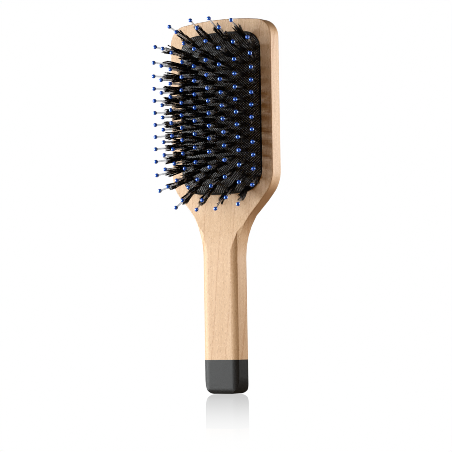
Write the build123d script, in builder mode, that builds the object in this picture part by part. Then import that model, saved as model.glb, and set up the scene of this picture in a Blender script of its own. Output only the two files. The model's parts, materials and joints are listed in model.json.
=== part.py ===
from build123d import *
import os
from math import atan2, cos, radians, sin, sqrt, tan

os.makedirs("parts", exist_ok=True)

# Paddle brush, in millimetres. It stands upright on its end cap: +Z runs up the handle to the
# head, +X is to the right, and the bristles point to -Y. The origin is the centre of the cap's
# flat base.

# Wooden body
overall_length = 225.0
head_half_width = 36.3
head_corner_z = 221.7  # where the crowned top would meet the side
head_corner_radius = 11.0
head_shoulder_z = 124.7  # corner of the outline before rounding
shoulder_radius = 20.0
handle_half_width = 12.2
neck_z = 97.4  # corner of the outline before rounding
neck_radius = 42.0
head_face_y = -2.45
front_y = -7.05  # front of the handle
back_y = 7.05
front_edge_round = 0.5
back_edge_round = 1.0

# Ramp from the handle's raised front down to the face of the head
ramp_start_z = 85.0
ramp_radius = 40.0
ramp_angle = 13.0

# Rounded long edges of the handle. The front pair runs out where the ramp falls away below it.
# The back pair follows the neck as it widens, and fades out below the head.
front_bevel = (4.2, 1.6)  # width across the face, depth down the side
front_bevel_end_z = 102.0
front_bevel_slope = 0.25  # how fast the front pair goes on falling where the neck widens
back_bevel = (4.4, 3.0)
back_bevel_steps = (88.0, 94.0, 100.0, 106.0)  # heights at which it meets the neck's outline
back_bevel_end_z = 118.0
faded_bevel = (0.3, 0.12)

# End cap
cap_height = 20.3
cap_proud = 0.05
cap_side_round = (6.0, 9.5)  # long round corners at its foot, seen from the front: reach in, and rise
cap_face_round = (2.4, 3.4)  # and seen from the side
cap_corner_radius = 0.4
tenon_width = 17.0
tenon_depth = 7.6
tenon_length = 12.0
tenon_corner_radius = 2.0
tenon_gap = 0.05

# Cushion pad and its pocket
pad_half_width = 29.0
pad_bottom_z = 119.2
pad_top_z = 217.3
pad_end_crown = 2.4  # rise of each end's curve over the width
pad_top_radius = 11.5
pad_bottom_radius = 14.0
lip_thickness = 1.6
undercut = 1.6
pocket_depth = 5.4
pad_gap = 0.1
pad_thickness = 0.8
flange_thickness = 1.2
dome_height = 8.4
dome_centre_z = 167.2
dome_half_length = 49.0
dome_flat_half_length = 28.0
dome_end_power = 5.75
vent_radius = 0.75

# Quills, balls, tufts and rings. Heights are along the quill from the face of the pad.
quill_columns = range(-4, 5)  # counted from the middle of the pad
column_pitch = 6.42
row_pitch = 7.5
outer_row_pitch = 7.0  # the outermost columns are shorter, to clear the pad's corners
quill_radius = 0.5
quill_height = 20.5
end_fan = 1.12  # the end rows lean out a little more than the pad's slope
end_fan_x = 0.75  # and less evenly than it across the width
side_lean = 0.028  # the whole field leans a little to one side and down
side_lean_per_row = -0.009
down_lean = -0.077
down_lean_per_row = 0.005
uneven_side_lean = 0.034  # hand-filled quills are never quite in line
uneven_down_lean = 0.063
foot_radius = 1.45
foot_top = -2.2
foot_bottom = -2.8
ball_radius = 1.2
tuft_bore_radius = 0.54
tuft_neck_radius = 1.2
tuft_neck_top = 2.2
tuft_top_radius = 2.1
tuft_top = 13.0
pad_hole_radius = 1.26
ring_radius = 1.44
ring_wire_radius = 0.2
ring_height = -1.85

cutter_margin = 5.0  # how far the shapes that cut run past what they cut


def face_plane(y):
    """Upright plane at the given y: x to the right, y up the brush, normal towards the bristles."""
    return Plane.XZ.offset(-y)


neck_angle = atan2(head_half_width - handle_half_width, head_shoulder_z - neck_z)
neck_start_z = neck_z - neck_radius * tan(neck_angle / 2)


def neck_half_width(z):
    """Half width of the neck at height z: it widens on an arc, and then straight."""
    rise = z - neck_start_z
    if rise < neck_radius * sin(neck_angle):
        return handle_half_width + neck_radius - sqrt(neck_radius**2 - rise**2)
    return handle_half_width + (z - neck_z) * tan(neck_angle)


def bevel_section(z, side, face_y, outward, bevel, half_width=handle_half_width, slope=0):
    """Area outside one rounded long edge of the handle, at height z."""
    width, depth = bevel
    on_face = (side * (half_width - width), face_y)
    on_side = (side * half_width, face_y - outward * depth)
    clear_x = side * (half_width + cutter_margin)
    beyond = (clear_x, on_side[1] - outward * slope * cutter_margin)
    clear_y = face_y + outward * cutter_margin
    with BuildSketch(Plane.XY.offset(z)) as section:
        with BuildLine():
            TangentArc(on_face, on_side, tangent=(side, 0))
            Polyline(on_side, beyond, (clear_x, clear_y), (on_face[0], clear_y), on_face)
        make_face()
    return section.sketch


def pad_outline(grow):
    """Outline of the pad on the face of the head, widened by grow on every side."""
    half = pad_half_width
    high_z = pad_top_z - pad_end_crown
    low_z = pad_bottom_z + pad_end_crown
    with BuildSketch() as outline:
        with BuildLine():
            ThreePointArc((-half, high_z), (0, pad_top_z), (half, high_z))
            Line((half, high_z), (half, low_z))
            ThreePointArc((half, low_z), (0, pad_bottom_z), (-half, low_z))
            Line((-half, low_z), (-half, high_z))
        make_face()
        fillet(outline.vertices().group_by(Axis.Y)[-1], pad_top_radius)
        fillet(outline.vertices().group_by(Axis.Y)[0], pad_bottom_radius)
        if grow:
            offset(amount=grow, mode=Mode.REPLACE)
    return outline.sketch


def dome_height_at(x, z):
    """Height of the pad's face above the face of the head; z is measured from the dome's centre."""
    across = 1 - abs(x / pad_half_width) ** 2
    along = 1 - abs(z / dome_half_length) ** dome_end_power
    return dome_height * across * along


def quill_plane(column, row):
    """Plane at the foot of one quill on the pad's face, with its normal along the quill."""
    x = column * column_pitch
    z = row * (outer_row_pitch if abs(column) == quill_columns[-1] else row_pitch)
    step = 0.01
    slope_x = (dome_height_at(x + step, z) - dome_height_at(x - step, z)) / (2 * step)
    fan_x = end_fan_x * x
    slope_z = (dome_height_at(fan_x, z + step) - dome_height_at(fan_x, z - step)) / (2 * step)
    uneven_x = uneven_side_lean * sin(1.9 * column + 5.8 * row - 0.27)
    uneven_z = uneven_down_lean * sin(9.4 * column + 12.4 * row + 3.12)
    lean_x = side_lean + side_lean_per_row * row + uneven_x
    lean_z = down_lean + down_lean_per_row * row + uneven_z
    foot = (x, head_face_y - dome_height_at(x, z), dome_centre_z + z)
    along_quill = (lean_x - slope_x, -1, lean_z - end_fan * slope_z)
    return Plane(origin=foot, x_dir=(1, -slope_x, 0), z_dir=along_quill)


def column_planes(column):
    """Planes of all the quills in one column; every second column has one row more."""
    rows = 13 if column % 2 else 12
    return [quill_plane(column, row - (rows - 1) / 2) for row in range(rows)]


# Wooden body: outline, ramp, rounded edges, pocket and tenon
with BuildPart() as body:
    with BuildSketch(face_plane(back_y)) as outline:
        with BuildLine():
            ThreePointArc(
                (-head_half_width, head_corner_z), (0, overall_length), (head_half_width, head_corner_z)
            )
            Polyline(
                (head_half_width, head_corner_z),
                (head_half_width, head_shoulder_z),
                (handle_half_width, neck_z),
                (handle_half_width, cap_height),
                (-handle_half_width, cap_height),
                (-handle_half_width, neck_z),
                (-head_half_width, head_shoulder_z),
                (-head_half_width, head_corner_z),
            )
        make_face()
        fillet(outline.vertices().group_by(Axis.Y)[3], head_corner_radius)
        fillet(outline.vertices().group_by(Axis.Y)[2], shoulder_radius)
        fillet(outline.vertices().group_by(Axis.Y)[1], neck_radius)
    extrude(amount=back_y - front_y)

    # The ramp is two arcs joined by a straight run, cut across the whole width.
    arc_drop = ramp_radius * (1 - cos(radians(ramp_angle)))
    ramp_run = (head_face_y - front_y - 2 * arc_drop) / sin(radians(ramp_angle))
    with BuildSketch(Plane.YZ.offset(-head_half_width - cutter_margin)):
        with BuildLine():
            leaving = JernArc((front_y, ramp_start_z), (0, 1), ramp_radius, -ramp_angle)
            run = Line(leaving @ 1, leaving @ 1 + (leaving % 1) * ramp_run)
            landing = JernArc(run @ 1, run % 1, ramp_radius, ramp_angle)
            Polyline(
                landing @ 1,
                (head_face_y, overall_length + cutter_margin),
                (front_y - cutter_margin, overall_length + cutter_margin),
                (front_y - cutter_margin, ramp_start_z),
                (front_y, ramp_start_z),
            )
        make_face()
    extrude(amount=2 * (head_half_width + cutter_margin), mode=Mode.SUBTRACT)

    front_edges = body.faces().filter_by(lambda face: face.normal_at().Y < -0.9).edges()
    fillet(front_edges.filter_by(Axis.X, reverse=True), front_edge_round)
    back_edges = body.faces().sort_by(Axis.Y)[-1].outer_wire().edges()
    fillet(back_edges.filter_by(Axis.X, reverse=True), back_edge_round)

    for side in (1, -1):
        front = bevel_section(cap_height, side, front_y, -1, front_bevel, slope=front_bevel_slope)
        extrude(front, amount=front_bevel_end_z - cap_height, mode=Mode.SUBTRACT)
        back = bevel_section(cap_height, side, back_y, 1, back_bevel)
        extrude(back, amount=neck_start_z - cap_height, mode=Mode.SUBTRACT)
        steps = [bevel_section(neck_start_z, side, back_y, 1, back_bevel)]
        for z in back_bevel_steps:
            steps.append(bevel_section(z, side, back_y, 1, back_bevel, neck_half_width(z)))
        end_width = neck_half_width(back_bevel_end_z)
        steps.append(bevel_section(back_bevel_end_z, side, back_y, 1, faded_bevel, end_width))
        loft([step.face() for step in steps], ruled=True, mode=Mode.SUBTRACT)

    # Pocket with an undercut that holds the pad's flange under a lip of wood
    with BuildSketch(face_plane(head_face_y + pocket_depth)):
        add(pad_outline(undercut))
    extrude(amount=pocket_depth - lip_thickness, mode=Mode.SUBTRACT)
    with BuildSketch(face_plane(head_face_y + lip_thickness)):
        add(pad_outline(0))
    extrude(amount=lip_thickness + cutter_margin, mode=Mode.SUBTRACT)

    # Tenon for the end cap
    with BuildSketch(Plane.XY.offset(cap_height - tenon_length)):
        with Locations((0, (front_y + back_y) / 2)):
            RectangleRounded(tenon_width, tenon_depth, tenon_corner_radius)
    extrude(amount=tenon_length)

body.part.label = "wooden_body"
export_step(body.part, "parts/wooden_body.step")

def rounded_foot(half_width, corner):
    """Upright outline of the cap, symmetric about the upright axis, with long round bottom corners."""
    reach, rise = corner
    inner = half_width - reach
    with BuildSketch() as outline:
        with BuildLine():
            EllipticalCenterArc((inner, rise), reach, rise, start_angle=270, arc_size=90)
            Line((half_width, rise), (half_width, cap_height))
            Line((half_width, cap_height), (-half_width, cap_height))
            Line((-half_width, cap_height), (-half_width, rise))
            EllipticalCenterArc((-inner, rise), reach, rise, start_angle=180, arc_size=90)
            Line((-inner, 0), (inner, 0))
        make_face()
    return outline.sketch


# End cap: the handle's own section, a little proud, with a rounded foot and a socket for the tenon
with BuildPart() as cap:
    with BuildSketch() as section:
        Rectangle(2 * handle_half_width, back_y - front_y)
        for side in (1, -1):
            add(bevel_section(0, side, front_y, -1, front_bevel), mode=Mode.SUBTRACT)
            add(bevel_section(0, side, back_y, 1, back_bevel), mode=Mode.SUBTRACT)
        offset(amount=cap_proud, mode=Mode.REPLACE)
    extrude(amount=cap_height)
    with BuildSketch(Plane.XZ):
        add(rounded_foot(handle_half_width + cap_proud, cap_side_round))
    extrude(amount=2 * back_y, both=True, mode=Mode.INTERSECT)
    with BuildSketch(Plane.YZ):
        add(rounded_foot(back_y + cap_proud, cap_face_round))
    extrude(amount=2 * handle_half_width, both=True, mode=Mode.INTERSECT)
    foot_z = cap.faces().sort_by(Axis.Z)[0].center().Z
    rising = cap.edges().filter_by(lambda e: e.bounding_box().min.Z < foot_z + 0.01 and e.length > 0.5)
    fillet(rising.filter_by(lambda e: e.bounding_box().size.Z > 0.5), cap_corner_radius)
    with BuildSketch(Plane.XY.offset(cap_height)):
        RectangleRounded(tenon_width, tenon_depth, tenon_corner_radius)
        offset(amount=tenon_gap, mode=Mode.REPLACE)
    extrude(amount=-tenon_length - tenon_gap, mode=Mode.SUBTRACT)

cap.part.label = "end_cap"
export_step(cap.part, "parts/end_cap.step")


def dome_block(inset):
    """The pad's domed block down to the underside of its flange, smaller all round by inset."""
    across_radius = (pad_half_width**2 + dome_height**2) / (2 * dome_height)
    end_run = dome_half_length - dome_flat_half_length
    along_radius = (end_run**2 + dome_height**2) / (2 * dome_height)
    dome_top_y = head_face_y - dome_height
    with BuildPart() as block:
        with BuildSketch(face_plane(head_face_y + lip_thickness + pad_gap + flange_thickness)):
            add(pad_outline(-pad_gap - inset))
        extrude(amount=lip_thickness + flange_thickness + dome_height + cutter_margin)
        with BuildSketch(Plane.XY.offset(pad_bottom_z - cutter_margin)):
            with Locations((0, dome_top_y + across_radius)):
                Circle(across_radius - inset)
        extrude(amount=pad_top_z - pad_bottom_z + 2 * cutter_margin, mode=Mode.INTERSECT)
        with BuildSketch(Plane.YZ.offset(-pad_half_width - cutter_margin)):
            with Locations((dome_top_y + along_radius, dome_centre_z)):
                SlotCenterToCenter(2 * dome_flat_half_length, 2 * (along_radius - inset), rotation=90)
        extrude(amount=2 * (pad_half_width + cutter_margin), mode=Mode.INTERSECT)
    return block.part


# Cushion pad: a domed rubber sheet with a flange under the lip of wood and a hole for each tuft
with BuildPart() as pad:
    add(dome_block(0))
    with BuildSketch(face_plane(head_face_y + lip_thickness + pad_gap + flange_thickness)):
        add(pad_outline(undercut - 2 * pad_gap))
    extrude(amount=flange_thickness)
    add(dome_block(pad_thickness), mode=Mode.SUBTRACT)
    for column in quill_columns:
        with Locations(*column_planes(column)):
            Cylinder(pad_hole_radius, 2 * cutter_margin, mode=Mode.SUBTRACT)
    with Locations(quill_plane(1 / 3, 0)):
        Cylinder(vent_radius, 2 * cutter_margin, mode=Mode.SUBTRACT)

pad.part.label = "cushion_pad"
export_step(pad.part, "parts/cushion_pad.step")

# Quills, ball tips, bristle tufts and anchor rings, one node of each for every column
for column in quill_columns:
    planes = column_planes(column)
    number = column + 1 - quill_columns[0]

    with BuildPart() as quills:
        with BuildSketch(*[plane.offset(foot_bottom) for plane in planes]):
            Circle(foot_radius)
        extrude(amount=foot_top - foot_bottom)
        with BuildSketch(*[plane.offset(foot_top) for plane in planes]):
            Circle(quill_radius)
        extrude(amount=quill_height - foot_top)
    quills.part.label = f"quills_{number}"
    export_step(quills.part, f"parts/quills_{number}.step")

    with BuildPart() as balls:
        with Locations(*[plane.offset(quill_height) for plane in planes]):
            Sphere(ball_radius)
        with BuildSketch(*[plane.offset(quill_height) for plane in planes]):
            Circle(quill_radius)
        extrude(amount=-ball_radius, mode=Mode.SUBTRACT)
    balls.part.label = f"ball_tips_{number}"
    export_step(balls.part, f"parts/ball_tips_{number}.step")

    base_up = (Align.CENTER, Align.CENTER, Align.MIN)
    with BuildPart() as tufts:
        with Locations(*[plane.offset(foot_top) for plane in planes]):
            Cylinder(tuft_neck_radius, tuft_neck_top - foot_top, align=base_up)
        with Locations(*[plane.offset(tuft_neck_top) for plane in planes]):
            Cone(tuft_neck_radius, tuft_top_radius, tuft_top - tuft_neck_top, align=base_up)
        with Locations(*[plane.offset(foot_top) for plane in planes]):
            Cylinder(tuft_bore_radius, tuft_top - foot_top, align=base_up, mode=Mode.SUBTRACT)
    tufts.part.label = f"bristle_tufts_{number}"
    export_step(tufts.part, f"parts/bristle_tufts_{number}.step")

    with BuildPart() as rings:
        with Locations(*[plane.offset(ring_height) for plane in planes]):
            Torus(ring_radius, ring_wire_radius)
    rings.part.label = f"anchor_rings_{number}"
    export_step(rings.part, f"parts/anchor_rings_{number}.step")
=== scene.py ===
import json
from math import cos, pi, radians, sin, sqrt

import bpy
import numpy as np
from mathutils import Matrix, Vector


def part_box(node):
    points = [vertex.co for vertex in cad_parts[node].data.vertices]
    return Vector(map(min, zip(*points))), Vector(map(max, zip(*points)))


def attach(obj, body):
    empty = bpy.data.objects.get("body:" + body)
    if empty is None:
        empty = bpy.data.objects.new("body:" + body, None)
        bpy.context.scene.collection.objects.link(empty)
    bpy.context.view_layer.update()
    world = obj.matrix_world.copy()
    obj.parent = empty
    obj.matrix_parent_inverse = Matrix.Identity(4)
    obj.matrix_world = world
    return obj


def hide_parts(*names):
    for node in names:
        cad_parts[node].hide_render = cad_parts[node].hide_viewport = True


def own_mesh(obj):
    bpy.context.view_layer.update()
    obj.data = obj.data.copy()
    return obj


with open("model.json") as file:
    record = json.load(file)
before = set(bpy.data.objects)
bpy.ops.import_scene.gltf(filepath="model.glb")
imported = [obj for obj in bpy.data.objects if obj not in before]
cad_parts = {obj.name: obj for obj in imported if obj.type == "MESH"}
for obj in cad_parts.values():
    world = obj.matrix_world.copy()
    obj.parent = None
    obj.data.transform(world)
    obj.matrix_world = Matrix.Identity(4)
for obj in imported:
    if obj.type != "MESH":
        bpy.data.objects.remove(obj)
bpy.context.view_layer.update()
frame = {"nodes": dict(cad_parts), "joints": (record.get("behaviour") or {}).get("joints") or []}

MM = 0.001
nodes = frame["nodes"]

# Measures of the head in millimetres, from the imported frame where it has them.
press_joint = next(j for j in frame["joints"] if j["name"] == "cushion_press")
head_face_y = press_joint["deforming_nodes"][0]["fixed_end_y_m"] / MM
pad_low, pad_high = (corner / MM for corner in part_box("cushion_pad"))
flange_width = 1.4  # of the pad's edge under the wood
pad_half_width = pad_high.x - flange_width
pad_bottom_z = pad_low.z + flange_width
pad_top_z = pad_high.z - flange_width
pad_end_crown = 2.4
pad_top_radius = 11.5
pad_bottom_radius = 14.0
pad_thickness = 0.8
dome_height = head_face_y - pad_low.y
dome_centre_z = 167.2
dome_half_length = 49.0
dome_end_power = 5.75

# Places and leans of the quills, as in part.py. A lean is a slope against the pad's axis.
quill_columns = range(-4, 5)
column_pitch = 6.42
row_pitch = 7.5
outer_row_pitch = 7.0
long_column_rows, short_column_rows = 13, 12
end_fan = 1.12
end_fan_x = 0.75
side_lean, side_lean_per_row, uneven_side_lean = 0.028, -0.009, 0.034
down_lean, down_lean_per_row, uneven_down_lean = -0.077, 0.005, 0.063
side_wave = (1.9, 5.8, -0.27)  # the uneven lean's turn per column and per row, and its start
down_wave = (9.4, 12.4, 3.12)

rib_rise = 1.55  # from one rib of the pad to the next, up the pad
rib_height = 0.13
rib_middle, rib_swing, cross_rib_swing = 0.45, 0.55, 0.22  # parts of the crest's wave


# ---------------------------------------------------------------- geometry of the pad


def column_number(column):
    """The number in the names of a column's pieces, from 1."""
    return column - quill_columns[0] + 1


def dome_height_at(x, z):
    """Height of the pad's face above the face of the head; z is measured from the dome's centre."""
    across = 1 - np.abs(x / pad_half_width) ** 2
    along = 1 - np.abs(z / dome_half_length) ** dome_end_power
    return dome_height * np.maximum(across, 0) * np.maximum(along, 0)


def quill_place(column, row):
    """Foot of one quill on the pad's face, and its unit direction."""
    x = column * column_pitch
    z = row * (outer_row_pitch if abs(column) == quill_columns[-1] else row_pitch)
    step = 0.01
    slope_x = (dome_height_at(x + step, z) - dome_height_at(x - step, z)) / (2 * step)
    fan_x = end_fan_x * x
    slope_z = (dome_height_at(fan_x, z + step) - dome_height_at(fan_x, z - step)) / (2 * step)
    uneven_x = uneven_side_lean * sin(side_wave[0] * column + side_wave[1] * row + side_wave[2])
    uneven_z = uneven_down_lean * sin(down_wave[0] * column + down_wave[1] * row + down_wave[2])
    lean_x = side_lean + side_lean_per_row * row + uneven_x
    lean_z = down_lean + down_lean_per_row * row + uneven_z
    foot = np.array((x, head_face_y - dome_height_at(x, z), dome_centre_z + z))
    direction = np.array((lean_x - slope_x, -1, lean_z - end_fan * slope_z))
    return foot, direction / np.linalg.norm(direction)


def column_places(column):
    """Places of all the quills in one column; every second column has one row more."""
    rows = long_column_rows if column % 2 else short_column_rows
    return [quill_place(column, row - (rows - 1) / 2) for row in range(rows)]


def end_curve(x, end_z, outward, corner_radius):
    """Height of the pad's end at each x: a shallow crown that turns into a round corner."""
    crown_radius = (pad_half_width**2 + pad_end_crown**2) / (2 * pad_end_crown)
    crown_centre = end_z - outward * crown_radius
    corner_x = pad_half_width - corner_radius
    corner_rise = sqrt((crown_radius - corner_radius) ** 2 - corner_x**2)
    corner_centre = crown_centre + outward * corner_rise
    touch_x = crown_radius * corner_x / (crown_radius - corner_radius)
    on_crown = crown_centre + outward * np.sqrt(crown_radius**2 - x**2)
    inside = np.maximum(corner_radius**2 - (np.abs(x) - corner_x) ** 2, 0)
    on_corner = corner_centre + outward * np.sqrt(inside)
    return np.where(np.abs(x) < touch_x, on_crown, on_corner)


def mesh_object(name, points_mm, faces, smooth=True):
    """A mesh object from points in millimetres and faces."""
    mesh = bpy.data.meshes.new(name)
    mesh.from_pydata((np.asarray(points_mm) * MM).tolist(), [], [list(map(int, f)) for f in faces])
    mesh.update()
    if smooth:
        mesh.polygons.foreach_set("use_smooth", [True] * len(mesh.polygons))
    made = bpy.data.objects.new(name, mesh)
    bpy.context.scene.collection.objects.link(made)
    return made


def rib_crest(x, z):
    """1 on top of a rib and 0 between ribs. The ribs slant the other way in each next column."""
    slant = 2 * (np.floor(x / column_pitch + 0.5) % 2) - 1
    along_rib = np.sin(2 * pi * (z + slant * x) / rib_rise)
    across_rib = np.sin(2 * pi * (z - slant * x) / rib_rise)
    return np.clip(rib_middle + rib_swing * along_rib + cross_rib_swing * across_rib, 0, 1)


def make_pad():
    """The domed pad as one closed sheet, with ribs, a rolled rim and a small pucker round each tuft."""
    across, along = 230, 440
    rim_width, rim_height = 1.0, 0.22
    pucker_radius, pucker_depth = 1.5, 0.35
    skirt_depth = 1.2  # under the face of the head
    edge_crowding = 0.35  # how far the grid's lines crowd towards the sides
    turn = np.linspace(-1, 1, across)
    crowded = pad_half_width * np.sin(turn * pi / 2)
    x = crowded * edge_crowding + pad_half_width * turn * (1 - edge_crowding)
    top = end_curve(x, pad_top_z, 1, pad_top_radius)
    bottom = end_curve(x, pad_bottom_z, -1, pad_bottom_radius)
    share = np.linspace(0, 1, along)
    grid_x = np.repeat(x[:, None], along, axis=1)
    grid_z = bottom[:, None] + (top - bottom)[:, None] * share[None, :]

    height = dome_height_at(grid_x, grid_z - dome_centre_z)
    side_gap = pad_half_width - np.abs(grid_x)
    end_gap = np.minimum(grid_z - bottom[:, None], top[:, None] - grid_z)
    edge_gap = np.minimum(side_gap, end_gap)
    near_rim = np.clip(1 - edge_gap / rim_width, 0, 1)
    height += rim_height * np.sqrt(np.clip(1 - (2 * near_rim - 1) ** 2, 0, 1)) * (near_rim > 0)
    crest = rib_crest(grid_x, grid_z) * (near_rim == 0)
    height += rib_height * (crest - 0.5)
    for column in quill_columns:
        for foot, _ in column_places(column):
            distance = (grid_x - foot[0]) ** 2 + (grid_z - foot[2]) ** 2
            height -= pucker_depth * np.exp(-distance / pucker_radius**2)

    upper = np.stack([grid_x, head_face_y - height, grid_z], axis=-1).reshape(-1, 3)
    lower = upper + (0, pad_thickness, 0)
    count = across * along
    points = np.concatenate([upper, lower])
    corner = np.arange(count).reshape(across, along)
    a, b, c, d = corner[:-1, :-1], corner[1:, :-1], corner[1:, 1:], corner[:-1, 1:]
    quads = np.stack([a, b, c, d], axis=-1).reshape(-1, 4)
    ring = np.concatenate([corner[:, 0], corner[-1, 1:], corner[-2::-1, -1], corner[0, -2:0:-1]])
    skirt = upper[ring].copy()
    skirt[:, 1] = head_face_y + skirt_depth
    points[ring + count] = skirt
    after = np.roll(ring, -1)
    wall = np.stack([ring, ring + count, after + count, after], axis=-1)
    pad = mesh_object("woven_pad", points, np.concatenate([quads, quads[:, ::-1] + count, wall]))
    crest_share = pad.data.attributes.new("crest", "FLOAT", "POINT")
    crest_share.data.foreach_set("value", np.tile(crest.ravel(), 2).astype(np.float32))
    return pad


# ---------------------------------------------------------------- bristles


def strand_faces(start, rings, sides):
    """Faces of one strand whose points start at start: rings of sides points, then its tip."""
    faces = []
    for r in range(rings - 1):
        for s in range(sides):
            n = (s + 1) % sides
            low, high = start + r * sides, start + (r + 1) * sides
            faces.append((low + s, low + n, high + n, high + s))
    last = start + (rings - 1) * sides
    tip_point = start + rings * sides
    for s in range(sides):
        faces.append((last + s, last + (s + 1) % sides, tip_point))
    faces.append(tuple(start + s for s in reversed(range(sides))))
    return faces


def make_tufts(column):
    """One column's boar bristles: locks of tapered strands that fan out from each tuft's neck."""
    number = column_number(column)
    first_seed = 410
    rng = np.random.default_rng(first_seed + number)

    # A tuft, in millimetres. Pairs named _range hold the lowest and highest factor.
    locks_per_tuft, strands_per_lock = 8, 8
    neck_radius, quill_clear = 1.08, 0.62
    root_depth, tuft_length = 1.2, 14.2
    splay_radius, lock_radius = 2.2, 0.24

    # A lock of strands.
    lock_shift = 0.3  # as a share of the angle between locks
    lock_reach_range, lock_length_range = (0.45, 1.05), (0.86, 1.04)
    wild_lock_share, wild_reach_range = 0.12, (1.15, 1.5)
    lock_bow_spread = 0.25

    # A strand.
    strand_angle_spread, strand_bow_spread = 0.35, 0.12
    strand_length_range, strand_width_range = (0.90, 1.04), (0.75, 1.25)
    frayed_share, frayed_spread = 0.10, 2.6
    short_share, short_length = 0.12, 0.78
    bend_power = 1.5
    rings, sides = 5, 3
    steps = np.array([0, 0.28, 0.55, 0.80, 0.965, 1])
    thickness = np.array([0.16, 0.17, 0.18, 0.175, 0.15])

    # Pale split tips.
    pale_share, pale_range = 0.3, (0.3, 1.0)
    pale_from, pale_over = 0.80, 0.15

    all_points, all_faces, all_tips = [], [], []
    start = 0
    for foot, direction in column_places(column):
        side = np.cross(direction, (0, 0, 1))
        side /= np.linalg.norm(side)
        up = np.cross(side, direction)
        turn = rng.uniform(0, 2 * pi)
        for lock in range(locks_per_tuft):
            shifted = lock + rng.uniform(-lock_shift, lock_shift)
            lock_angle = turn + 2 * pi * shifted / locks_per_tuft
            lock_reach = splay_radius * rng.uniform(*lock_reach_range)
            if rng.uniform() < wild_lock_share:
                lock_reach *= rng.uniform(*wild_reach_range)
            lock_tip = lock_reach * np.array((cos(lock_angle), sin(lock_angle)))
            lock_length = tuft_length * rng.uniform(*lock_length_range)
            lock_bow = rng.normal(0, lock_bow_spread, 2)
            for _ in range(strands_per_lock):
                spread = sqrt(rng.uniform((quill_clear / neck_radius) ** 2, 1))
                angle = lock_angle + rng.normal(0, strand_angle_spread)
                base = neck_radius * spread * np.array((cos(angle), sin(angle)))
                length = lock_length * rng.uniform(*strand_length_range)
                loose = rng.uniform()
                fray = lock_radius * (frayed_spread if loose < frayed_share else 1.0)
                length *= short_length if loose > 1 - short_share else 1.0
                tip = lock_tip + rng.normal(0, fray, 2)
                bow = lock_bow + rng.normal(0, strand_bow_spread, 2)
                t = steps[:, None]
                bend = base + (tip - base) * t**bend_power + bow * np.sin(pi * t) * t
                rise = -root_depth + (length + root_depth) * t
                line = foot + direction * rise + side * bend[:, :1] + up * bend[:, 1:]
                around = rng.uniform(0, 2 * pi) + 2 * pi * np.arange(sides) / sides
                ring = side[None, :] * np.cos(around)[:, None] + up[None, :] * np.sin(around)[:, None]
                width = thickness * rng.uniform(*strand_width_range)
                tube = line[:-1, None, :] + ring[None, :, :] * width[:, None, None]
                all_points.append(np.concatenate([tube.reshape(-1, 3), line[-1:]]))
                pale = rng.uniform(*pale_range) if rng.uniform() < pale_share else 0.0
                fade = np.clip((steps - pale_from) / pale_over, 0, 1) * pale
                all_tips.append(np.concatenate([np.repeat(fade[:-1], sides), fade[-1:]]))
                all_faces.extend(strand_faces(start, rings, sides))
                start += rings * sides + 1
    tufts = mesh_object(f"boar_bristles_{number}", np.concatenate(all_points), all_faces)
    tip_share = tufts.data.attributes.new("tip_share", "FLOAT", "POINT")
    tip_share.data.foreach_set("value", np.concatenate(all_tips).astype(np.float32))
    return tufts


# ---------------------------------------------------------------- materials


class Nodes:
    """A short way to build a node tree."""

    def __init__(self, tree):
        self.tree = tree

    def plug(self, socket, value):
        """Link value to socket, or set it there when it's a plain value."""
        if isinstance(value, bpy.types.NodeSocket):
            self.tree.links.new(value, socket)
        else:
            socket.default_value = value

    def node(self, kind, inputs=(), out=0, **settings):
        """One output of a new node."""
        made = self.tree.nodes.new(kind)
        for key, value in settings.items():
            setattr(made, key, value)
        for key, value in dict(inputs).items():
            self.plug(made.inputs[key], value)
        return made.outputs[out]

    def split(self, vector):
        """The X, Y and Z of vector."""
        made = self.tree.nodes.new("ShaderNodeSeparateXYZ")
        self.plug(made.inputs[0], vector)
        return made.outputs

    def math(self, operation, *values):
        """A sum, product or other operation on values."""
        return self.node("ShaderNodeMath", enumerate(values), operation=operation)

    def ramp(self, value, low, high, to_low=0.0, to_high=1.0):
        """A smooth step from to_low, where value is low, to to_high, where it's high."""
        inputs = {0: value, 1: low, 2: high, 3: to_low, 4: to_high}
        return self.node("ShaderNodeMapRange", inputs, clamp=True, interpolation_type="SMOOTHSTEP")


class Shader(Nodes):
    """A new material's nodes, round its own Principled surface."""

    def __init__(self, name):
        self.material = bpy.data.materials.new(name)
        self.material.use_nodes = True
        super().__init__(self.material.node_tree)
        self.surface = self.tree.nodes["Principled BSDF"]

    def place(self, scale=(1, 1, 1)):
        """Position on the object in millimetres, times scale."""
        here = self.node("ShaderNodeTexCoord", out="Object")
        factor = tuple(1000 * s for s in scale)
        return self.node("ShaderNodeVectorMath", {0: here, 1: factor}, operation="MULTIPLY")

    def noise(self, place, scale, detail=2.0, roughness=0.5, distortion=0.0):
        """Noise from 0 to 1 at place, with scale patches to the millimetre."""
        inputs = {"Vector": place, "Scale": scale, "Detail": detail}
        inputs.update({"Roughness": roughness, "Distortion": distortion})
        return self.node("ShaderNodeTexNoise", inputs)

    def mix(self, share, first, second):
        """The colour first where share is 0, and second where it's 1."""
        made = self.tree.nodes.new("ShaderNodeMix")
        made.data_type = "RGBA"
        self.plug(made.inputs[0], share)
        self.plug(made.inputs[6], first)
        self.plug(made.inputs[7], second)
        return made.outputs[2]

    def bump(self, height, strength, distance_mm):
        """Roughen the surface by height, which is distance_mm where it's 1."""
        inputs = {"Height": height, "Strength": strength, "Distance": distance_mm * MM}
        self.plug(self.surface.inputs["Normal"], self.node("ShaderNodeBump", inputs))

    def set(self, **values):
        """Set inputs of the surface, with _ for a space in their names."""
        for key, value in values.items():
            self.plug(self.surface.inputs[key.replace("_", " ")], value)


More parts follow.
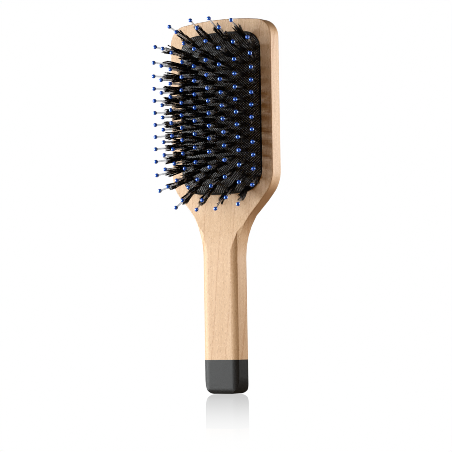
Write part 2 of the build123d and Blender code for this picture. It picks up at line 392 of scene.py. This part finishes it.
def beech():
    """Light beech: pores and short flecks along the grain, growth lines, and browner end grain that is
    laid on by how far a face turns up or down, so it is also painted shade on the head's rounded
    corners and shoulders.
    """
    shader = Shader("beech")
    line_pitch, line_wander = 10.5, 9.0  # millimetres from line to line, and how far they drift
    line_lean_y, line_lean_z = 0.6, -0.085  # how the lines lean through the wood and along it
    drift = shader.noise(shader.place((1, 1, 0.22)), 0.030, 2.0, 0.5)
    here = shader.split(shader.place())
    lean_y = shader.math("MULTIPLY", here["Y"], line_lean_y)
    lean_z = shader.math("MULTIPLY", here["Z"], line_lean_z)
    across = shader.math("ADD", here["X"], lean_y)
    across = shader.math("ADD", across, lean_z)
    across = shader.math("ADD", across, shader.math("MULTIPLY", drift, line_wander))
    rings = shader.math("SINE", shader.math("MULTIPLY", across, 2 * pi / line_pitch))
    streaks = shader.noise(shader.place((1, 1, 0.04)), 0.55, 3.0, 0.6, 0.3)
    flecks = shader.noise(shader.place((1, 1, 0.30)), 2.2, 2.0, 0.6)
    pores = shader.noise(shader.place((1, 1, 0.5)), 1.5, 4.0, 0.75)
    facing = shader.split(shader.node("ShaderNodeTexCoord", out="Normal"))
    # Painted shade: darker brown wherever a face turns up or down, standing for end grain and for the
    # shade on the head's top corners and shoulders.
    end_grain_and_shade = shader.ramp(shader.math("ABSOLUTE", facing["Z"]), 0.2, 0.7, 0.0, 0.85)
    light, dark = (0.745, 0.520, 0.320, 1), (0.665, 0.440, 0.250, 1)
    line_brown, fleck_brown = (0.56, 0.320, 0.160, 1), (0.46, 0.265, 0.140, 1)
    end_grain_and_shade_brown, pale_pore = (0.33, 0.175, 0.080, 1), (0.90, 0.70, 0.51, 1)
    tone = shader.mix(shader.ramp(streaks, 0.3, 0.7), light, dark)
    tone = shader.mix(shader.ramp(rings, 0.95, 1.0, 0.0, 0.65), tone, line_brown)
    tone = shader.mix(shader.ramp(flecks, 0.54, 0.68, 0.0, 0.60), tone, fleck_brown)
    tone = shader.mix(shader.ramp(pores, 0.50, 0.66, 0.0, 0.60), tone, pale_pore)
    tone = shader.mix(end_grain_and_shade, tone, end_grain_and_shade_brown)
    shader.set(Base_Color=tone, Roughness=shader.ramp(pores, 0.3, 0.7, 0.42, 0.54))
    shader.set(Specular_IOR_Level=0.45)
    shader.bump(shader.math("ADD", pores, flecks), 0.25, 0.05)
    return shader.material


def soft_touch():
    """Dark soft-touch cap: satin sheen over near black, with a fine uneven mottle."""
    shader = Shader("soft_touch")
    near_black, dark_grey = (0.011, 0.011, 0.0115, 1), (0.034, 0.034, 0.0345, 1)
    grain = shader.noise(shader.place(), 1.6, 4.0, 0.7)
    tone = shader.mix(shader.ramp(grain, 0.3, 0.7), near_black, dark_grey)
    shader.set(Base_Color=tone, Roughness=shader.ramp(grain, 0.3, 0.7, 0.40, 0.56))
    shader.set(Specular_IOR_Level=0.3)
    shader.bump(grain, 0.35, 0.06)
    return shader.material


def woven_rubber():
    """Black pad: the crests of its ribs carry a painted highlight in light grey, and the grooves
    between them are black.
    """
    shader = Shader("woven_rubber")
    groove_black, fuzz_black = (0.003, 0.003, 0.0035, 1), (0.008, 0.008, 0.009, 1)
    crest_highlight_grey = (0.42, 0.43, 0.45, 1)
    crest = shader.node("ShaderNodeAttribute", out="Fac", attribute_name="crest")
    fuzz = shader.noise(shader.place(), 4.0, 3.0, 0.7)
    # Painted highlight: light grey on the rib crests, where light catches them.
    crest_highlight_share = shader.ramp(crest, 0.70, 1.0)
    tone = shader.mix(crest_highlight_share, groove_black, crest_highlight_grey)
    tone = shader.mix(shader.ramp(fuzz, 0.48, 0.72, 0.0, 0.75), tone, fuzz_black)
    shader.set(Base_Color=tone, Roughness=shader.ramp(crest, 0.2, 0.9, 0.75, 0.42))
    shader.bump(shader.math("ADD", crest, shader.math("MULTIPLY", fuzz, 0.3)), 0.5, 0.12)
    return shader.material


def nylon():
    """Drawn nylon: smoky and translucent, with faint lengthwise streaks."""
    shader = Shader("nylon")
    smoky, clear = (0.60, 0.615, 0.65, 1), (0.72, 0.735, 0.77, 1)
    streak = shader.noise(shader.place((1, 0.12, 1)), 2.2, 2.0, 0.5)
    tone = shader.mix(shader.ramp(streak, 0.3, 0.7), smoky, clear)
    shader.set(Base_Color=tone, Roughness=shader.ramp(streak, 0.3, 0.7, 0.22, 0.34))
    shader.set(Transmission_Weight=0.88, IOR=1.35)
    return shader.material


def blue_resin():
    """Glossy royal blue resin, a little cloudy inside."""
    shader = Shader("blue_resin")
    deep_blue, light_blue = (0.011, 0.110, 0.86, 1), (0.022, 0.165, 1.0, 1)
    cloud = shader.noise(shader.place(), 0.9, 2.0, 0.5)
    tone = shader.mix(shader.ramp(cloud, 0.3, 0.7), deep_blue, light_blue)
    shader.set(Base_Color=tone, Roughness=shader.ramp(cloud, 0.3, 0.7, 0.10, 0.16))
    shader.set(IOR=2.6, Specular_Tint=(0.36, 0.62, 1.0, 1))
    shader.set(Coat_Weight=0.80, Coat_IOR=2.1, Coat_Roughness=0.05)
    return shader.material


def boar_bristle():
    """Black boar bristle; some tips are split and pale."""
    shader = Shader("boar_bristle")
    black, soft_black = (0.003, 0.003, 0.0035, 1), (0.010, 0.009, 0.009, 1)
    pale_tip = (0.40, 0.31, 0.235, 1)
    share = shader.node("ShaderNodeAttribute", out="Fac", attribute_name="tip_share")
    tint = shader.noise(shader.place(), 0.8, 2.0, 0.5)
    tone = shader.mix(shader.ramp(tint, 0.35, 0.65), black, soft_black)
    tone = shader.mix(shader.ramp(share, 0.25, 1.0), tone, pale_tip)
    shader.set(Base_Color=tone, Roughness=shader.ramp(tint, 0.3, 0.7, 0.28, 0.42))
    return shader.material


def drawn_wire():
    """Plain steel wire with fine drawing lines."""
    shader = Shader("drawn_wire")
    dark_steel, bright_steel = (0.46, 0.46, 0.47, 1), (0.63, 0.63, 0.64, 1)
    line = shader.noise(shader.place((6, 1, 6)), 1.4, 2.0, 0.6)
    tone = shader.mix(line, dark_steel, bright_steel)
    shader.set(Base_Color=tone, Roughness=shader.ramp(line, 0.3, 0.7, 0.28, 0.42), Metallic=1.0)
    return shader.material


def finish_with(obj, material):
    """Give obj this one material."""
    obj.data.materials.clear()
    obj.data.materials.append(material)


# ---------------------------------------------------------------- camera, floor and light


def make_camera():
    """The photograph's view: a long lens, low down, 34 degrees round from the front."""
    azimuth, elevation, roll = radians(34.0), radians(-3.03), 0.015924
    distance, target_z = 1.3292, 0.1082
    target = Vector((0, head_face_y * MM, target_z))
    back = Vector((sin(azimuth) * cos(elevation), -cos(azimuth) * cos(elevation), sin(elevation)))
    right = Vector((cos(azimuth), sin(azimuth), 0))
    up = back.cross(right)
    across = right * cos(roll) - up * sin(roll)
    above = right * sin(roll) + up * cos(roll)
    data = bpy.data.cameras.new("camera")
    data.sensor_width = 36.0
    data.lens = 176.4
    data.shift_x, data.shift_y = 0.00766, -0.0288
    data.clip_start, data.clip_end = 0.05, 50.0
    camera = bpy.data.objects.new("camera", data)
    turn = Matrix((across, above, back)).transposed().to_4x4()
    camera.matrix_world = Matrix.Translation(target + back * distance) @ turn
    bpy.context.scene.collection.objects.link(camera)
    bpy.context.scene.camera = camera


def make_floor():
    """A plain white floor with a faint reflection that fades out away from the brush."""
    reach = 30.0
    floor_z = -0.00015  # just under the brush, so that the two don't lie in one plane
    reflection, reflection_reach = 0.48, 0.62  # its share in the middle, and where it ends
    corners = [(x * reach, y * reach, floor_z) for x, y in ((-1, -1), (1, -1), (1, 1), (-1, 1))]
    floor = mesh_object("floor", np.array(corners) / MM, [(0, 1, 2, 3)], smooth=False)
    shader = Shader("white_floor")
    white = (1, 1, 1, 1)
    glow = shader.node("ShaderNodeEmission", {"Color": white, "Strength": 1.0})
    mirror = shader.node("ShaderNodeBsdfGlossy", {"Color": white, "Roughness": 0.0})
    level = shader.place((MM, MM, 0))
    away = shader.node("ShaderNodeVectorMath", {0: level}, out="Value", operation="LENGTH")
    fade = shader.ramp(away, 0.0, reflection_reach, reflection, 0.0)
    grazing = shader.node("ShaderNodeFresnel", {"IOR": 1.45})
    share = shader.math("MULTIPLY", fade, grazing)
    blend = shader.node("ShaderNodeMixShader", {0: share, 1: glow, 2: mirror})
    shader.plug(shader.tree.nodes["Material Output"].inputs["Surface"], blend)
    finish_with(floor, shader.material)
    floor.visible_diffuse = floor.visible_glossy = floor.visible_shadow = False


def make_world():
    """White to the camera, through clear parts and in the floor, and a warm dim room to the rest."""
    world = bpy.data.worlds.new("studio")
    bpy.context.scene.world = world
    world.use_nodes = True
    world.node_tree.nodes.clear()
    build = Nodes(world.node_tree)

    white, warm = (1, 1, 1, 1), (1.0, 0.54, 0.15, 1)
    dim_from, dim_to = -0.1, 0.5  # how far up a direction points
    low_strength, high_strength, gloss_strength = 0.30, 0.09, 0.04
    direction = build.node("ShaderNodeTexCoord", out="Generated")
    strength = build.ramp(build.split(direction)["Z"], dim_from, dim_to, low_strength, high_strength)
    room = build.node("ShaderNodeBackground", {"Color": warm, "Strength": strength})
    gloss = build.node("ShaderNodeBackground", {"Color": white, "Strength": gloss_strength})
    paper = build.node("ShaderNodeBackground", {"Color": white, "Strength": 1.0})

    path = build.tree.nodes.new("ShaderNodeLightPath").outputs
    straight = build.math("MAXIMUM", path["Is Camera Ray"], path["Is Transmission Ray"])
    mirrored = path["Is Singular Ray"]  # only the floor is a perfect mirror
    plain = build.math("MAXIMUM", straight, mirrored)
    lit = build.node("ShaderNodeMixShader", {0: path["Is Glossy Ray"], 1: room, 2: gloss})
    seen = build.node("ShaderNodeMixShader", {0: plain, 1: lit, 2: paper})
    output = build.tree.nodes.new("ShaderNodeOutputWorld")
    build.plug(output.inputs["Surface"], seen)


def make_light(name, place, aim, width, height, watts, tint):
    """A soft box at place that faces aim."""
    data = bpy.data.lights.new(name, "AREA")
    data.shape = "RECTANGLE"
    data.size, data.size_y = width, height
    data.energy = watts
    data.color = tint
    light = bpy.data.objects.new(name, data)
    light.location = place
    light.rotation_euler = (Vector(aim) - Vector(place)).to_track_quat("-Z", "Y").to_euler()
    light.visible_camera = False
    bpy.context.scene.collection.objects.link(light)


# ---------------------------------------------------------------- put together

wood, dark_cap, rubber = beech(), soft_touch(), woven_rubber()
quill_finish, ball_finish, hair, wire = nylon(), blue_resin(), boar_bristle(), drawn_wire()

finish_with(nodes["wooden_body"], wood)
finish_with(nodes["end_cap"], dark_cap)
finish_with(nodes["cushion_pad"], rubber)

pad = make_pad()
finish_with(pad, rubber)
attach(pad, "body")
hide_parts("cushion_pad")

for column in quill_columns:
    number = column_number(column)
    finish_with(nodes[f"quills_{number}"], quill_finish)
    finish_with(nodes[f"ball_tips_{number}"], ball_finish)
    finish_with(nodes[f"anchor_rings_{number}"], wire)
    tufts = make_tufts(column)
    finish_with(tufts, hair)
    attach(tufts, f"bristles_{number}")
    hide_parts(f"bristle_tufts_{number}")

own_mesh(pad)

make_camera()
make_floor()
make_world()
make_light(
    "left_box",
    place=(-0.60, -0.44, 0.14),
    aim=(0, 0, 0.12),
    width=0.80,
    height=0.60,
    watts=11.0,
    tint=(0.945, 0.985, 1.0),
)
make_light(
    "right_box",
    place=(0.27, 0.21, 0.19),
    aim=(0, 0, 0.17),
    width=0.26,
    height=0.20,
    watts=1.25,
    tint=(0.95, 0.975, 1.0),
)
bpy.context.scene.view_settings.view_transform = "Standard"
bpy.context.scene.cycles.filter_width = 0.9
bpy.context.scene.cycles.denoising_prefilter = "NONE"
